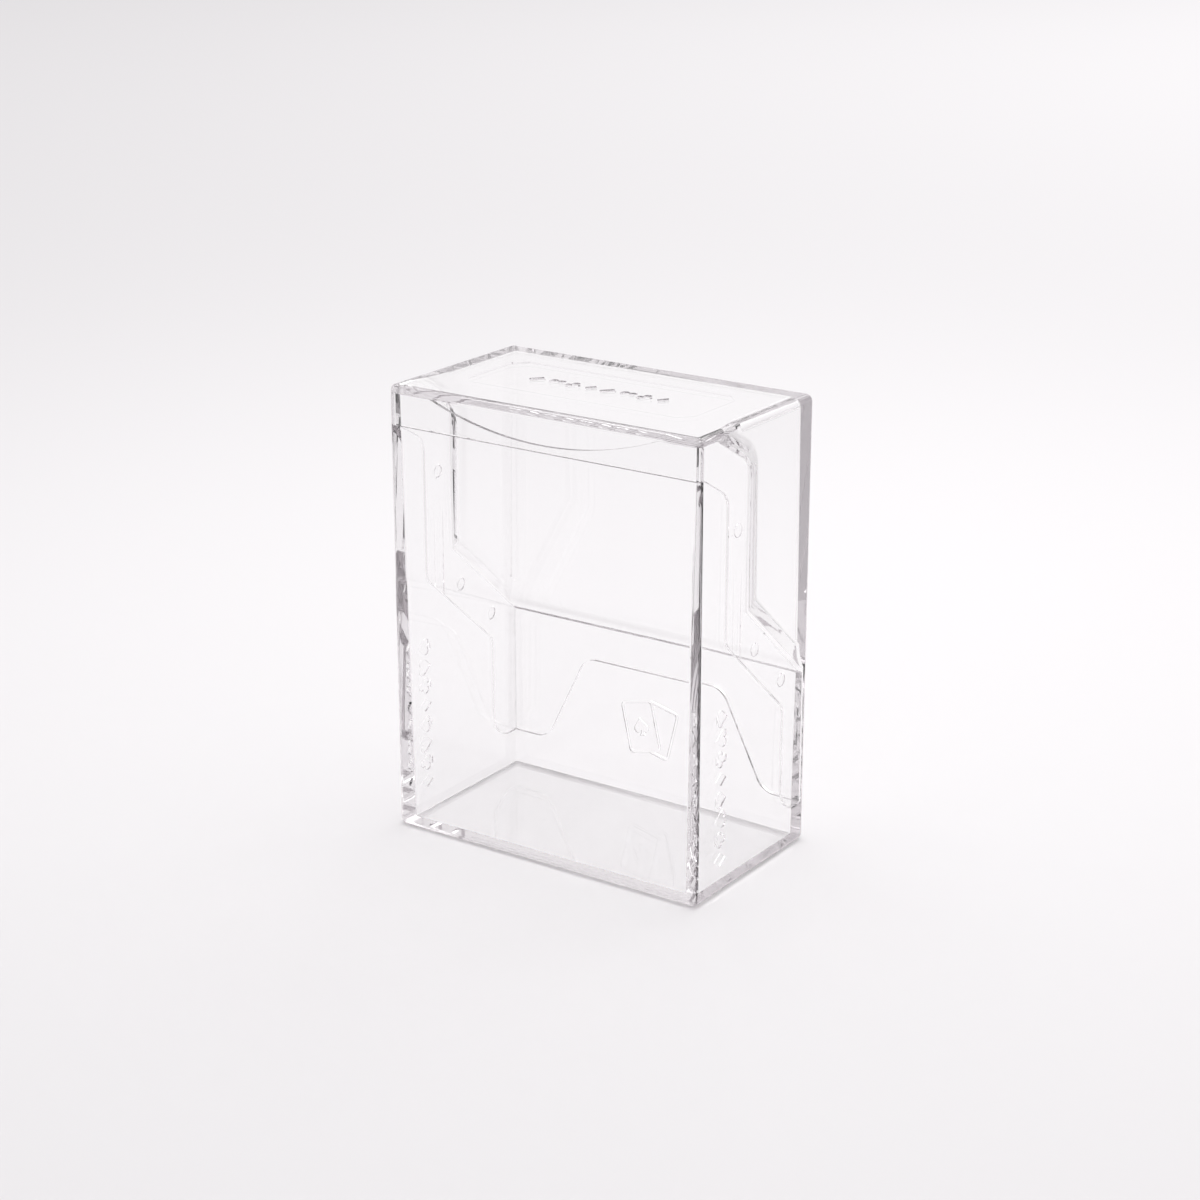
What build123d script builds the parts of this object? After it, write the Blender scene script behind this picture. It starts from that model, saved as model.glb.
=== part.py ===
"""Clear card deck box in two mouldings, for a deck of standard cards in sleeves.

The box is a tall tray with a stepped parting line: its front wall is full height, its back wall is
low, with a tongue in the middle. A thin inner lip stands up above that line. The lid's skirt slides
down outside the lip, flush with the box. Millimetres, +Z up, front towards -Y, origin at the middle
of the underside.
"""
from build123d import *
import os
from math import atan2, cos, degrees, radians, sin, tan

# Outside form
WIDTH = 76.0
DEPTH = 43.0
HEIGHT = 98.0
EDGE_RADIUS = 1.5

# Wall sections: each moulding's walls thicken away from its mouth, so that it leaves the mould
BOX_WALL = 2.0                  # at the level of the top
BOX_DRAFT = 0.75                # degrees
BOX_INNER_RADIUS = 0.3
FLOOR = 2.0
FLOOR_RADIUS = 0.2
LID_WALL = 3.1                  # above and behind the lip, at the level of the top
LID_DRAFT = 0.9
LID_INNER_RADIUS = 1.0
TOP = 1.9
CEILING_RADIUS = 0.8
STOP_RADIUS = 12.8              # the lid's thick wall runs out to the lip's edge in an arc
STOP_STEEP = 30.0               # degrees, where it starts
STOP_SHALLOW = 8.0              # and where it meets the wall
STOP_SLICES = 5

# Fit of the lid: skirt outside, running gap, lip inside
SKIRT = 1.0
FIT_GAP = 0.2
SEAM_GAP = 0.2
RIM_GAP = 0.1

# Parting line, seen from the side as (Y, Z), from front to back
SHOULDER = 89.4                 # height of the parting line across the front
HEEL = 9.0                      # and across the back
SEAM_FRONT_Y = -11.0            # upper upright run
SEAM_BACK_Y = 11.6              # lower upright run
SEAM_STEP_TOP = 53.2            # where the slanting run meets the two upright ones
SEAM_STEP_FOOT = 33.1
SLOPE = 30.0                    # degrees, of the short slant behind the front wall
SEAM_SLANT_START_Y = -20.0

# Tongue of the back wall
TONGUE_TOP = 30.0
TONGUE_TOP_HALF = 16.7
TONGUE_FOOT_HALF = 26.9
TONGUE_RADIUS = 4.5

# Edge of the inner lip, seen from the side
RIM_TOP = HEIGHT - TOP - RIM_GAP
RIM_UPRIGHT_Y = -2.4
RIM_SLANT_START_Y = -14.6
RIM_STEP_TOP = 57.8
RIM_BACK = 38.2
RIM_BACK_Y = 19.3

# Thumb notch in the lip's front edge
NOTCH_HALF = 27.9
NOTCH_DEPTH = 5.4

# Snap nubs on the lip, and the dimples and the guide groove in the skirt that receive them
NUB_RADIUS = 1.25
NUB_HEIGHT = 0.15
NUBS = ((-6.7, 76.2), (0.5, 49.1), (11.2, 39.3))
DIMPLE_RADIUS = 1.5
DIMPLE_DEPTH = 0.3
NUB_TAPER = 20.0
GROOVE_WIDTH = 3.0
GROOVE_DEPTH = 0.4
GROOVE_TOP = 68.0
GROOVE_FOOT = 44.0

# Decoration: a chamfered panel on the lid, rows of card suits, and an emblem on the tongue
PANEL_WIDTH = 55.6
PANEL_DEPTH = 20.6
PANEL_CHAMFER = 2.8
PANEL_RECESS = 0.2
MARK_DEPTH = 0.3
SUIT_HEIGHT = 4.0
SUIT_PITCH = 4.4
SIDE_ROW_Y = -12.2
SIDE_ROW_Z = 23.0
EMBLEM_Z = 17.0
CARD_WIDTH = 8.4
CARD_HEIGHT = 12.0
CARD_LINE = 0.6
CARD_RADIUS = 1.2
CARD_SHIFT = 2.2
CARD_FAN = 13.0                 # degrees

HALF_WIDTH = WIDTH / 2
HALF_DEPTH = DEPTH / 2
BEYOND = 10.0                   # how far cutting shapes run past the outside
HALF_ACROSS = HALF_WIDTH + BEYOND
STOP_WIDTH = STOP_RADIUS * (sin(radians(STOP_STEEP)) - sin(radians(STOP_SHALLOW)))
STOP_DEPTH = STOP_RADIUS * (cos(radians(STOP_SHALLOW)) - cos(radians(STOP_STEEP)))
SIDE_VIEW = Plane.YZ.offset(-HALF_ACROSS)
REAR_VIEW = Plane.XZ.offset(-HALF_DEPTH - BEYOND)
LIP_INSET = SKIRT + FIT_GAP

# The lid's inner faces, each leaning inwards by the draft: local Y runs up the face, Z into the wall
LID_FOOT_WALL = LID_WALL - (HEIGHT - TOP) * tan(radians(LID_DRAFT))
LEAN = (cos(radians(LID_DRAFT)), sin(radians(LID_DRAFT)))
LID_SIDE_FACE = Plane((HALF_WIDTH - LID_FOOT_WALL, 0, 0), x_dir=(0, 1, 0), z_dir=(LEAN[0], 0, LEAN[1]))
LID_BACK_FACE = Plane((0, HALF_DEPTH - LID_FOOT_WALL, 0), x_dir=(-1, 0, 0), z_dir=(0, LEAN[0], LEAN[1]))


def seam_points():
    """Corners of the parting line and their radii, front to back."""
    slant_drop = (SEAM_FRONT_Y - SEAM_SLANT_START_Y) * tan(radians(SLOPE))
    points = (
        (-HALF_DEPTH - BEYOND, SHOULDER),
        (SEAM_SLANT_START_Y, SHOULDER),
        (SEAM_FRONT_Y, SHOULDER - slant_drop),
        (SEAM_FRONT_Y, SEAM_STEP_TOP),
        (SEAM_BACK_Y, SEAM_STEP_FOOT),
        (SEAM_BACK_Y, HEEL),
        (HALF_DEPTH + BEYOND, HEEL),
    )
    return points, (1.5, 4.5, 4.5, 2.5, 5.5)


def rim_points():
    """Corners of the lip's edge and their radii, front to back."""
    slant_drop = (RIM_UPRIGHT_Y - RIM_SLANT_START_Y) * tan(radians(SLOPE))
    points = (
        (-HALF_DEPTH - BEYOND, RIM_TOP),
        (RIM_SLANT_START_Y, RIM_TOP),
        (RIM_UPRIGHT_Y, RIM_TOP - slant_drop),
        (RIM_UPRIGHT_Y, RIM_STEP_TOP),
        (RIM_BACK_Y, RIM_BACK),
        (HALF_DEPTH + BEYOND, RIM_BACK),
    )
    return points, (3.0, 4.0, 1.0, 1.0)


def region_above(outline, gap=0.0):
    """The area above an outline that runs front to back, pulled in all round by gap."""
    points, radii = outline
    far_front = (points[0][0], HEIGHT + BEYOND)
    far_back = (points[-1][0], HEIGHT + BEYOND)
    with BuildSketch(mode=Mode.PRIVATE) as region:
        with BuildLine():
            FilletPolyline(*points, radius=radii)
            Polyline(points[-1], far_back, far_front, points[0])
        make_face()
        if gap:
            offset(amount=-gap, kind=Kind.INTERSECTION)
    return region.sketch


def stop_rounding():
    """Slices across the stop's arc: pull-in and depth where each starts, its thickness and taper."""
    step = (STOP_STEEP - STOP_SHALLOW) / STOP_SLICES
    slopes = [radians(STOP_STEEP - step * k) for k in range(STOP_SLICES + 1)]
    for start, end in zip(slopes, slopes[1:]):
        pull_in = STOP_RADIUS * (sin(slopes[0]) - sin(start))
        depth = STOP_RADIUS * (cos(slopes[-1]) - cos(start))
        thickness = STOP_RADIUS * (cos(end) - cos(start))
        widening = STOP_RADIUS * (sin(start) - sin(end))
        yield pull_in, depth, thickness, degrees(atan2(widening, thickness))


def tongue_region(gap=0.0):
    """The outline of the back wall's tongue, grown all round by gap."""
    points = (
        (-HALF_WIDTH - BEYOND, HEEL),
        (-TONGUE_FOOT_HALF, HEEL),
        (-TONGUE_TOP_HALF, TONGUE_TOP),
        (TONGUE_TOP_HALF, TONGUE_TOP),
        (TONGUE_FOOT_HALF, HEEL),
        (HALF_WIDTH + BEYOND, HEEL),
    )
    with BuildSketch(mode=Mode.PRIVATE) as region:
        with BuildLine():
            FilletPolyline(*points, radius=TONGUE_RADIUS)
            Polyline(points[-1], (points[-1][0], -BEYOND), (points[0][0], -BEYOND), points[0])
        make_face()
        if gap:
            offset(amount=gap, kind=Kind.INTERSECTION)
    return region.sketch


def area_over_back(gap):
    """The area of the back wall above the lip's low back edge and a gap."""
    with BuildSketch(mode=Mode.PRIVATE) as area:
        with Locations((0, RIM_BACK + gap)):
            Rectangle(2 * HALF_ACROSS, HEIGHT, align=(Align.CENTER, Align.MIN))
    return area.sketch


def side_plane(side, distance):
    """A plane that faces outwards on one side; its points are (side * Y, Z)."""
    return Plane(origin=(side * distance, 0, 0), x_dir=(0, side, 0), z_dir=(side, 0, 0))


# Card suits, each drawn one unit high and then brought to size
def heart():
    with BuildSketch(mode=Mode.PRIVATE) as suit:
        with BuildLine():
            Bezier((0, -0.5), (0.22, -0.2), (0.52, -0.02), (0.47, 0.24))
            ThreePointArc((0.47, 0.24), (0.24, 0.45), (0, 0.24))
            mirror(about=Plane.YZ)
        make_face()
        scale(by=SUIT_HEIGHT)
    return suit.sketch


def spade():
    with BuildSketch(mode=Mode.PRIVATE) as suit:
        with BuildLine():
            Bezier((0, 0.5), (0.2, 0.22), (0.52, 0.04), (0.46, -0.14))
            ThreePointArc((0.46, -0.14), (0.26, -0.34), (0.05, -0.2))
            Bezier((0.05, -0.2), (0.06, -0.36), (0.1, -0.44), (0.2, -0.5))
            Line((0.2, -0.5), (0, -0.5))
            mirror(about=Plane.YZ)
        make_face()
        scale(by=SUIT_HEIGHT)
    return suit.sketch


def club():
    with BuildSketch(mode=Mode.PRIVATE) as suit:
        with Locations((0, 0.27), (0.23, -0.08), (-0.23, -0.08)):
            Circle(0.22)
        Polygon((-0.2, -0.5), (0.2, -0.5), (0.06, -0.2), (-0.06, -0.2), align=None)
        Rectangle(0.12, 0.44)
        scale(by=SUIT_HEIGHT)
    return suit.sketch


def diamond():
    with BuildSketch(mode=Mode.PRIVATE) as suit:
        Polygon((0, 0.5), (-0.36, 0), (0, -0.5), (0.36, 0), align=None)
        scale(by=SUIT_HEIGHT)
    return suit.sketch


def suit_row():
    """The four suits twice over, side by side along the sketch's X."""
    suits = (spade(), heart(), club(), diamond()) * 2
    with BuildSketch(mode=Mode.PRIVATE) as row:
        for place, suit in zip(GridLocations(SUIT_PITCH, 0, len(suits), 1), suits):
            with Locations(place):
                add(suit)
    return row.sketch


def card_outline():
    """The raised-line frame of one playing card."""
    with BuildSketch(mode=Mode.PRIVATE) as outline:
        RectangleRounded(CARD_WIDTH, CARD_HEIGHT, CARD_RADIUS)
        offset(amount=-CARD_LINE, mode=Mode.SUBTRACT)
    return outline.sketch


def card_emblem():
    """Two fanned card outlines, the front one covering the back one, with a spade on it."""
    back = Location((-CARD_SHIFT, 0, 0), (0, 0, CARD_FAN))
    front = Location((CARD_SHIFT, 0, 0), (0, 0, -CARD_FAN))
    with BuildSketch(mode=Mode.PRIVATE) as emblem:
        with Locations(back):
            add(card_outline())
        with Locations(front):
            RectangleRounded(CARD_WIDTH, CARD_HEIGHT, CARD_RADIUS, mode=Mode.SUBTRACT)
            add(card_outline())
            add(spade())
    return emblem.sketch


# Shapes that the two mouldings share
with BuildPart() as case:
    with BuildSketch():
        RectangleRounded(WIDTH, DEPTH, EDGE_RADIUS)
    extrude(amount=HEIGHT)
    fillet(case.faces().sort_by(Axis.Z)[0].edges(), EDGE_RADIUS)
    fillet(case.faces().sort_by(Axis.Z)[-1].edges(), EDGE_RADIUS)

with BuildPart() as cavity:
    for level in (FLOOR, HEIGHT):
        wall = BOX_WALL + (HEIGHT - level) * tan(radians(BOX_DRAFT))
        with BuildSketch(Plane.XY.offset(level)):
            RectangleRounded(WIDTH - 2 * wall, DEPTH - 2 * wall, BOX_INNER_RADIUS)
    loft()
    fillet(cavity.faces().sort_by(Axis.Z)[0].edges(), FLOOR_RADIUS)

with BuildPart() as lid_hollow:
    with BuildSketch(Plane.XY.offset(HEIGHT - TOP)):
        RectangleRounded(WIDTH - 2 * LID_WALL, DEPTH - 2 * LID_WALL, LID_INNER_RADIUS)
    extrude(amount=-(HEIGHT - TOP), taper=-LID_DRAFT)
    fillet(lid_hollow.faces().sort_by(Axis.Z)[-1].edges(), CEILING_RADIUS)

# Everything outside the lip and above the parting line: the room that the skirt takes
with BuildPart() as collar:
    with BuildSketch(SIDE_VIEW):
        add(region_above(seam_points()))
    extrude(amount=2 * HALF_ACROSS)
    with BuildSketch(REAR_VIEW):
        add(tongue_region())
    extrude(amount=HALF_DEPTH + BEYOND, mode=Mode.SUBTRACT)
    with BuildSketch():
        RectangleRounded(WIDTH - 2 * LIP_INSET, DEPTH - 2 * LIP_INSET, EDGE_RADIUS - LIP_INSET)
    extrude(amount=HEIGHT + BEYOND, mode=Mode.SUBTRACT)

# The lid's thick walls, which stop the lip with a rounded edge: one on the right, mirrored to the left
with BuildPart() as side_stops:
    with BuildSketch(LID_SIDE_FACE.offset(STOP_DEPTH)):
        add(region_above(rim_points(), gap=RIM_GAP))
    extrude(amount=BEYOND)
    for pull_in, depth, thickness, taper in stop_rounding():
        with BuildSketch(LID_SIDE_FACE.offset(depth)):
            add(region_above(rim_points(), gap=RIM_GAP + pull_in))
        extrude(amount=-thickness, taper=taper)
    mirror(about=Plane.YZ)

# and one across the back
with BuildPart() as back_stop:
    with BuildSketch(LID_BACK_FACE.offset(STOP_DEPTH)):
        add(area_over_back(RIM_GAP))
    extrude(amount=BEYOND)
    for pull_in, depth, thickness, taper in stop_rounding():
        with BuildSketch(LID_BACK_FACE.offset(depth)):
            add(area_over_back(RIM_GAP + pull_in))
        extrude(amount=-thickness, taper=taper)

# The room that the lip takes inside the lid
with BuildPart() as lip_room:
    with BuildSketch():
        RectangleRounded(WIDTH - 2 * SKIRT, DEPTH - 2 * SKIRT, EDGE_RADIUS - SKIRT)
    extrude(amount=HEIGHT - TOP)
    with BuildSketch(SIDE_VIEW):
        add(region_above(rim_points(), gap=RIM_GAP + STOP_WIDTH))
    extrude(amount=2 * HALF_ACROSS, mode=Mode.SUBTRACT)
    add(side_stops.part, mode=Mode.SUBTRACT)
    add(back_stop.part, mode=Mode.SUBTRACT)

# The box: tray, tongue and inner lip
with BuildPart() as box:
    add(case.part)
    add(collar.part, mode=Mode.SUBTRACT)
    with BuildSketch(SIDE_VIEW):
        add(region_above(rim_points()))
    extrude(amount=2 * HALF_ACROSS, mode=Mode.SUBTRACT)
    add(cavity.part, mode=Mode.SUBTRACT)
    # thumb notch in the front of the lip
    with BuildSketch(Plane.XZ) as notch:
        with BuildLine():
            ThreePointArc((-NOTCH_HALF, RIM_TOP), (0, RIM_TOP - NOTCH_DEPTH), (NOTCH_HALF, RIM_TOP))
            Polyline((NOTCH_HALF, RIM_TOP), (NOTCH_HALF, HEIGHT), (-NOTCH_HALF, HEIGHT), (-NOTCH_HALF, RIM_TOP))
        make_face()
    extrude(amount=HALF_DEPTH, mode=Mode.SUBTRACT)
    for side in (1, -1):
        # snap nubs, low enough to pass inside the skirt
        with BuildSketch(side_plane(side, HALF_WIDTH - LIP_INSET)):
            with Locations(*((side * y, z) for y, z in NUBS)):
                Circle(NUB_RADIUS)
        extrude(amount=NUB_HEIGHT, taper=NUB_TAPER)
        # a column of suits near the front edge of each narrow side
        column_middle = (side * HALF_WIDTH, SIDE_ROW_Y, SIDE_ROW_Z)
        with BuildSketch(Plane(column_middle, x_dir=(0, 0, -1), z_dir=(side, 0, 0))):
            add(suit_row())
        extrude(amount=-MARK_DEPTH, mode=Mode.SUBTRACT)
    # the emblem on the tongue
    with BuildSketch(Plane((0, HALF_DEPTH, EMBLEM_Z), x_dir=(-1, 0, 0), z_dir=(0, 1, 0))):
        add(card_emblem())
    extrude(amount=-MARK_DEPTH, mode=Mode.SUBTRACT)
box.part.label = "box"

# The lid: top, skirt, and full-thickness walls above the lip
with BuildPart() as lid:
    add(case.part)
    with BuildSketch(SIDE_VIEW):
        add(region_above(seam_points(), gap=SEAM_GAP))
    extrude(amount=2 * HALF_ACROSS, mode=Mode.INTERSECT)
    with BuildSketch(REAR_VIEW):
        add(tongue_region(gap=SEAM_GAP))
    extrude(amount=HALF_DEPTH + BEYOND, mode=Mode.SUBTRACT)
    add(lid_hollow.part, mode=Mode.SUBTRACT)
    add(lip_room.part, mode=Mode.SUBTRACT)
    for side in (1, -1):
        inner_face = HALF_WIDTH - SKIRT
        # dimples that the nubs click into
        with BuildSketch(side_plane(side, inner_face)):
            with Locations(*((side * y, z) for y, z in NUBS)):
                Circle(DIMPLE_RADIUS)
        extrude(amount=DIMPLE_DEPTH, taper=NUB_TAPER, mode=Mode.SUBTRACT)
        # the groove that leads the upper nub in, deepest at the skirt's edge
        with BuildSketch(Plane.XZ.offset(-NUBS[0][0])):
            with BuildLine():
                Polyline(
                    (side * inner_face, GROOVE_FOOT),
                    (side * (inner_face + GROOVE_DEPTH), GROOVE_FOOT),
                    (side * inner_face, GROOVE_TOP),
                    close=True,
                )
            make_face()
        extrude(amount=GROOVE_WIDTH / 2, both=True, mode=Mode.SUBTRACT)
    # shallow panel on top, with a row of suits
    with BuildSketch(Plane.XY.offset(HEIGHT)) as panel:
        Rectangle(PANEL_WIDTH, PANEL_DEPTH)
        chamfer(panel.vertices(), PANEL_CHAMFER)
    extrude(amount=-PANEL_RECESS, mode=Mode.SUBTRACT)
    with BuildSketch(Plane.XY.offset(HEIGHT - PANEL_RECESS)):
        add(suit_row())
    extrude(amount=-MARK_DEPTH, mode=Mode.SUBTRACT)
lid.part.label = "lid"

os.makedirs("parts", exist_ok=True)
for moulding in (box, lid):
    export_step(moulding.part, f"parts/{moulding.part.label}.step")
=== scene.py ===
import math

import bmesh
import bpy
import numpy as np
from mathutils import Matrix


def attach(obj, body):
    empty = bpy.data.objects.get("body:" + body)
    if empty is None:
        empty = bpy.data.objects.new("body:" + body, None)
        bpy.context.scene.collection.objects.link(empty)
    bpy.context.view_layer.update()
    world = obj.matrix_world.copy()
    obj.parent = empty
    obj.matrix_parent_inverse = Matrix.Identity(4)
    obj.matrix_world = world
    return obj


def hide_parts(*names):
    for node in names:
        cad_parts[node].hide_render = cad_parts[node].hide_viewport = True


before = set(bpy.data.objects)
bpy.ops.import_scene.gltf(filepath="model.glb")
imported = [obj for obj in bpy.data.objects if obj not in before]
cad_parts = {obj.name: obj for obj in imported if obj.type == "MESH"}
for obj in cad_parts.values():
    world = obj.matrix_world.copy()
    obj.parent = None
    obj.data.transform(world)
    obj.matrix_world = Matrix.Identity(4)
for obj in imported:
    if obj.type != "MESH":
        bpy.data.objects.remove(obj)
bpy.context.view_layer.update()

MM = 0.001

# ---------------------------------------------------------------- colours
WATER_CLEAR = "#FFFFFF"
# The plastic's depth colour shows only along the edges, where light has run through many
# centimetres of wall. With the density, a tenth of the light is gone after 20 mm.
DEPTH_TINT = "#958490"
DEPTH_DENSITY = 7.5             # per metre
STUDIO_AIR = "#FFFDFE"
FLOOR_PALE = "#D9D8D9"

# ---------------------------------------------------------------- plastic's finish
POLYSTYRENE_IOR = 1.5
FLOW_STRETCH = 4                # the waviness is this many times longer along the flow than across
FLOW_HEIGHT_MM = 0.02
HANDLING_PATCH_MM = 6.0
HAZIEST_ROUGHNESS = 0.01

# ---------------------------------------------------------------- welding and shading of the skins
WELD_MM = 0.002
SLIVER_MM = 0.001
CREASE = math.radians(30)       # a sharper turn than this stays a crisp edge
FLAT = math.radians(1.5)        # a smaller turn than this is no edge at all

# ---------------------------------------------------------------- studio, in metres and watts
FLOOR_RADIUS = 12.0
FLOOR_DROP = 0.02 * MM          # keeps the floor clear of the box's underside
POOL_LIGHT = dict(above=(-0.04, 0.12), height=0.36, size=0.50, watts=0.58)
BACKDROP_LIGHT = dict(above=(0.05, 1.40), height=1.10, size=1.60, watts=8.3)
CAMERA_PLACE = (0.29881, -0.43336, 0.23303)
CAMERA_DIP = math.radians(18.926)
CAMERA_TURN = math.radians(34.586)
CAMERA_LENS_MM = 79.94
CAMERA_SENSOR_MM = 36.0


def linear(hex_colour):
    """An sRGB hex colour as linear RGBA."""
    channels = [int(hex_colour[i:i + 2], 16) / 255 for i in (1, 3, 5)]
    return [c / 12.92 if c <= 0.04045 else ((c + 0.055) / 1.055) ** 2.4 for c in channels] + [1.0]


def add_node(tree, kind, links=None, **inputs):
    """Adds one node, with its own socket values and with links from other nodes' outputs."""
    node = tree.nodes.new(kind)
    for name, value in inputs.items():
        node.inputs[name.replace("_", " ")].default_value = value
    for name, output in (links or {}).items():
        tree.links.new(output, node.inputs[name])
    return node


def new_material(name):
    """A material with no nodes yet, and its node tree."""
    material = bpy.data.materials.new(name)
    material.use_nodes = True
    material.node_tree.nodes.clear()
    return material, material.node_tree


# ---------------------------------------------------------------- clear polystyrene
def clear_polystyrene(name, flow_mm):
    """General-purpose polystyrene, injection-moulded in a polished mould.

    To the eye: glass-clear faces, and grey-mauve edges. The melt ran up the walls and leaves a
    faint waviness, drawn out that way. Handling leaves a very slight haze in patches.
    """
    material, tree = new_material(name)
    place = add_node(tree, "ShaderNodeTexCoord").outputs["Object"]
    # flow waviness: flow_mm from wave to wave across the flow
    along = add_node(
        tree, "ShaderNodeMapping", {"Vector": place}, Scale=(1.0, 1.0, 1 / FLOW_STRETCH),
    )
    waves = add_node(
        tree, "ShaderNodeTexNoise", {"Vector": along.outputs["Vector"]},
        Scale=1 / (flow_mm * MM), Detail=1.0, Roughness=0.4,
    )
    waviness = add_node(
        tree, "ShaderNodeBump", {"Height": waves.outputs["Fac"]},
        Strength=0.1, Distance=FLOW_HEIGHT_MM * MM,
    )
    # haze of handling: from mirror polish to almost mirror polish
    patches = add_node(
        tree, "ShaderNodeTexNoise", {"Vector": place},
        Scale=1 / (HANDLING_PATCH_MM * MM), Detail=3.0, Roughness=0.6,
    )
    polish = add_node(
        tree, "ShaderNodeMapRange", {"Value": patches.outputs["Fac"]},
        From_Min=0.45, From_Max=0.8, To_Min=0.0, To_Max=HAZIEST_ROUGHNESS,
    )
    surface = add_node(
        tree, "ShaderNodeBsdfPrincipled",
        {"Roughness": polish.outputs["Result"], "Normal": waviness.outputs["Normal"]},
        Base_Color=linear(WATER_CLEAR), Metallic=0.0, IOR=POLYSTYRENE_IOR, Transmission_Weight=1.0,
    )
    depth = add_node(
        tree, "ShaderNodeVolumeAbsorption", Color=linear(DEPTH_TINT), Density=DEPTH_DENSITY,
    )
    add_node(
        tree, "ShaderNodeOutputMaterial",
        {"Surface": surface.outputs["BSDF"], "Volume": depth.outputs["Volume"]},
    )
    return material


# ---------------------------------------------------------------- the two mouldings
def neighbours(face, limit):
    """The faces next to a face that turn from it by less than a limit, and the edges between."""
    for edge in face.edges:
        if edge.is_manifold and edge.calc_face_angle() < limit:
            yield edge, next(other for other in edge.link_faces if other is not face)


def flat_regions(shape):
    """Which flat each face is part of, named by one of its faces, and each flat's weight.

    The weight is the flat's area squared.
    """
    region, weight = {}, {}
    for seed in shape.faces:
        if seed in region:
            continue
        region[seed] = seed
        waiting, area = [seed], 0.0
        while waiting:
            face = waiting.pop()
            area += face.calc_area()
            for _, other in neighbours(face, FLAT):
                if other not in region:
                    region[other] = seed
                    waiting.append(other)
        weight[seed] = area ** 2
    return region, weight


def faces_around(corner):
    """The faces that share a corner's normal: no crisp edge parts them from the corner's face."""
    around, waiting = {corner.face}, [corner.face]
    while waiting:
        for edge, other in neighbours(waiting.pop(), CREASE):
            if corner.vert in edge.verts and other not in around:
                around.add(other)
                waiting.append(other)
    return around


def corner_normals(shape):
    """One normal for each face corner: roundings blend, and a flat stays flat up to its own edge.

    It is the mean of the flats around the corner, by weight, so it leans to the largest of them.
    """
    region, weight = flat_regions(shape)
    shape.faces.index_update()
    normals = []
    for face in shape.faces:
        for corner in face.loops:
            # added up in a fixed order, so that every run gives the same last digit
            flats = sorted({region[part] for part in faces_around(corner)}, key=lambda flat: flat.index)
            lean = sum((weight[flat] * flat.normal for flat in flats), 0 * face.normal)
            normals.append(lean.normalized())
    return normals


def moulding(node, piece_name, flow_mm):
    """A CAD node as one welded skin of clear plastic, smooth over its roundings, crisp at its edges."""
    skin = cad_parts[node].data.copy()
    skin.name = piece_name
    welded = bmesh.new()
    welded.from_mesh(skin)
    bmesh.ops.remove_doubles(welded, verts=welded.verts, dist=WELD_MM * MM)
    bmesh.ops.dissolve_degenerate(welded, edges=welded.edges, dist=SLIVER_MM * MM)
    welded.normal_update()
    normals = corner_normals(welded)
    welded.to_mesh(skin)
    welded.free()
    skin.shade_smooth()
    skin.normals_split_custom_set(normals)
    skin.materials.clear()
    skin.materials.append(clear_polystyrene(f"clear moulded polystyrene, {node}", flow_mm))
    piece = bpy.data.objects.new(piece_name, skin)
    bpy.context.scene.collection.objects.link(piece)
    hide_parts(node)
    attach(piece, node)


moulding("box", "box_moulding", flow_mm=9.0)
moulding("lid", "lid_moulding", flow_mm=8.0)


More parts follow.
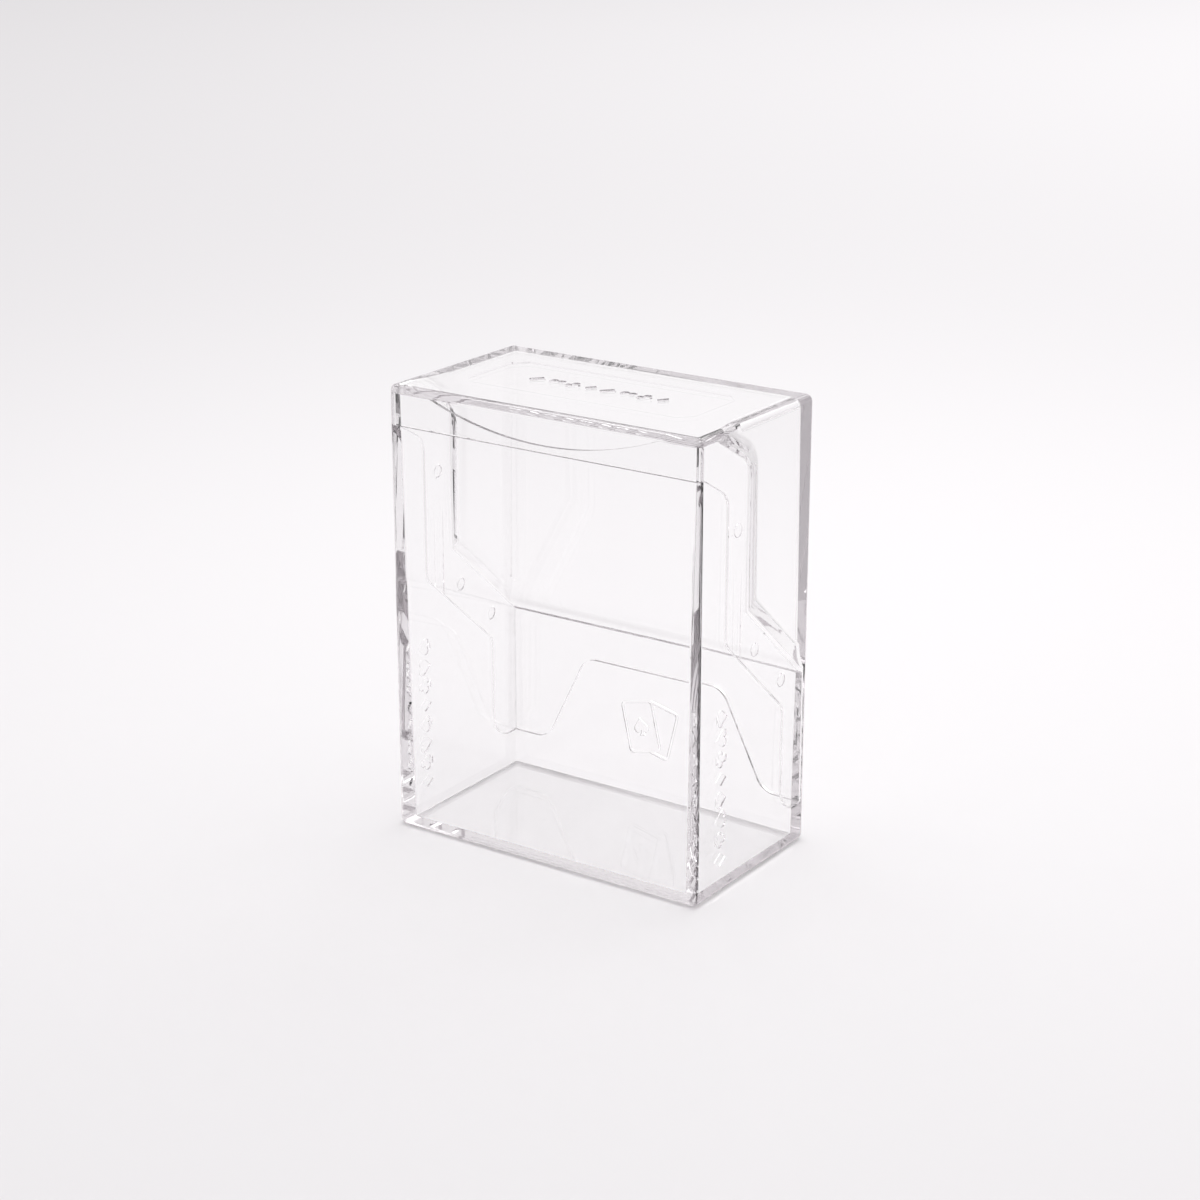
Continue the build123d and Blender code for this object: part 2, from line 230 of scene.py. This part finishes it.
# ---------------------------------------------------------------- studio floor
def studio_floor(rings=12, spokes=48):
    """A flat disc of paper. A ring's radius grows with the square of its number."""
    radius = (np.arange(1, rings + 1) / rings) ** 2 * FLOOR_RADIUS
    turn = np.arange(spokes) / spokes * 2 * np.pi
    flat = np.stack([np.outer(radius, np.cos(turn)), np.outer(radius, np.sin(turn))], -1).reshape(-1, 2)
    points = np.insert(np.vstack([[0.0, 0.0], flat]), 2, -FLOOR_DROP, axis=1)
    # numbers of the points on each ring, with the first repeated at the end to close it
    ring = 1 + np.arange(rings * spokes).reshape(rings, spokes)
    ring = np.hstack([ring, ring[:, :1]])
    middle = np.stack([np.zeros(spokes, int), ring[0, :-1], ring[0, 1:]], -1)
    bands = np.stack([ring[:-1, :-1], ring[1:, :-1], ring[1:, 1:], ring[:-1, 1:]], -1).reshape(-1, 4)
    mesh = bpy.data.meshes.new("studio_floor")
    mesh.from_pydata(points.tolist(), [], middle.tolist() + bands.tolist())
    return bpy.data.objects.new("studio_floor", mesh)


floor = studio_floor()
bpy.context.scene.collection.objects.link(floor)
# uncoated paper scatters light evenly and has no gloss
paper, paper_tree = new_material("pale matt studio paper")
fibre = add_node(paper_tree, "ShaderNodeBsdfDiffuse", Color=linear(FLOOR_PALE), Roughness=0.0)
add_node(paper_tree, "ShaderNodeOutputMaterial", {"Surface": fibre.outputs["BSDF"]})
floor.data.materials.append(paper)

# ---------------------------------------------------------------- light
scene = bpy.context.scene
studio = bpy.data.worlds.new("studio")
studio.use_nodes = True
studio.node_tree.nodes.clear()
air = add_node(studio.node_tree, "ShaderNodeBackground", Color=linear(STUDIO_AIR), Strength=1.0)
add_node(studio.node_tree, "ShaderNodeOutputWorld", {"Surface": air.outputs["Background"]})
scene.world = studio


def softbox(name, above, height, size, watts):
    """A round area light that looks straight down. The camera doesn't see it."""
    lamp = bpy.data.lights.new(name, "AREA")
    lamp.shape = "DISK"
    lamp.size = size
    lamp.energy = watts
    holder = bpy.data.objects.new(name, lamp)
    holder.location = (*above, height)
    holder.visible_camera = False
    scene.collection.objects.link(holder)


softbox("pool_light", **POOL_LIGHT)
softbox("backdrop_light", **BACKDROP_LIGHT)

# Light runs along inside the walls and turns back many times before it leaves them.
scene.cycles.max_bounces = 40
scene.cycles.transmission_bounces = 40
scene.cycles.glossy_bounces = 40
scene.cycles.diffuse_bounces = 3
# Unfiltered, so that the floor inside the box is lit through the clear walls.
scene.cycles.blur_glossy = 0.0
scene.view_settings.view_transform = "Standard"
scene.view_settings.look = "None"

# ---------------------------------------------------------------- camera
lens = bpy.data.cameras.new("camera")
lens.sensor_width = CAMERA_SENSOR_MM
lens.lens = CAMERA_LENS_MM
lens.clip_start = 0.01
lens.clip_end = 60.0
camera = bpy.data.objects.new("camera", lens)
camera.location = CAMERA_PLACE
camera.rotation_euler = (math.pi / 2 - CAMERA_DIP, 0.0, CAMERA_TURN)
scene.collection.objects.link(camera)
scene.camera = camera
